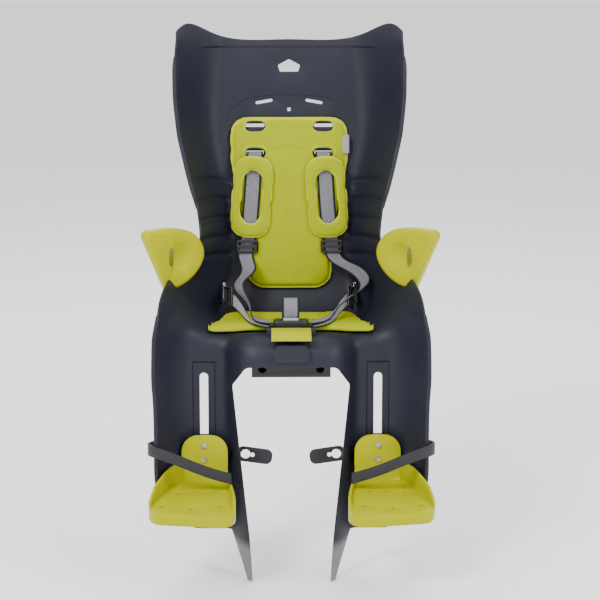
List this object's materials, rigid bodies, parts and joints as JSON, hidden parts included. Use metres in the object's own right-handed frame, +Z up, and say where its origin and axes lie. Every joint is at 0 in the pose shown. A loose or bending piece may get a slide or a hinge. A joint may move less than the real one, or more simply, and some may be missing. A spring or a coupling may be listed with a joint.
{
  "type": "child bike seat",
  "caption": "Rear child seat for a bicycle: moulded bucket with leg channels, wheel guards, pads, harness, hand grips and height-adjustable footrests; it slides onto the rods of a support bar.",
  "frame": {"origin": "midway between the mouths of the two support-bar sockets", "axes": "+Z up, the seat faces -Y, +X is the child's left"},
  "size_m": [0.4272, 0.3706, 0.7758],
  "materials": {
    "shell": "fine moulded grain",
    "pad_fabric": "soft matte foam skin",
    "lime_plastic": "glossy moulding",
    "webbing": "woven melange",
    "webbing_light": "woven melange",
    "hardware": "satin moulding",
    "button": "satin moulding",
    "rubber": "matte",
    "steel": "zinc plated",
    "tag": "flat woven"
  },
  "bodies": {
    "seat": {"seat_shell": "shell", "mount_block": "hardware", "mount_screws": "steel", "back_pad": "pad_fabric", "pad_tag": "tag", "seat_pad": "pad_fabric", "crotch_strap": "webbing", "crotch_anchor": "hardware", "buckle_body": "hardware", "lever_pin": "steel", "shoulder_strap_left": "webbing", "shoulder_strap_right": "webbing", "shoulder_pad_left": "pad_fabric", "shoulder_pad_right": "pad_fabric", "shoulder_lock_left": "hardware", "shoulder_lock_right": "hardware", "shoulder_anchor_left": "hardware", "shoulder_anchor_right": "hardware", "waist_strap_left": "webbing_light", "waist_strap_right": "webbing_light", "waist_lock_left": "hardware", "waist_lock_right": "hardware", "waist_anchor_left": "hardware", "waist_anchor_right": "hardware", "buckle_tongue_left": "hardware", "buckle_tongue_right": "hardware", "hand_grip_left": "lime_plastic", "hand_grip_right": "lime_plastic"},
    "buckle_button": {"buckle_button": "button"},
    "release_lever": {"release_lever": "lime_plastic"},
    "footrest_left": {"footrest_left": "lime_plastic", "footrest_slider_left": "hardware", "footrest_screws_left": "steel", "foot_strap_left": "rubber"},
    "footrest_right": {"footrest_right": "lime_plastic", "footrest_slider_right": "hardware", "footrest_screws_right": "steel", "foot_strap_right": "rubber"}
  },
  "joints": [
    {"name": "footrest_left_height", "type": "slide", "parent": "seat", "child": "footrest_left", "axis": [0, 0.0698, 0.9976], "range_m": [0, 0.07]},
    {"name": "footrest_right_height", "type": "slide", "parent": "seat", "child": "footrest_right", "axis": [0, 0.0698, 0.9976], "range_m": [0, 0.07]},
    {"name": "buckle_press", "type": "slide", "parent": "seat", "child": "buckle_button", "axis": [0, 0, -1], "range_m": [0, 0.0025], "stiffness_N_per_m": 400},
    {"name": "lever_lift", "type": "hinge", "parent": "seat", "child": "release_lever", "pos_m": [0, 0.016, 0.0518], "axis": [-1, 0, 0], "range_deg": [0, 25], "stiffness_Nm_per_rad": 0.2}
  ]
}
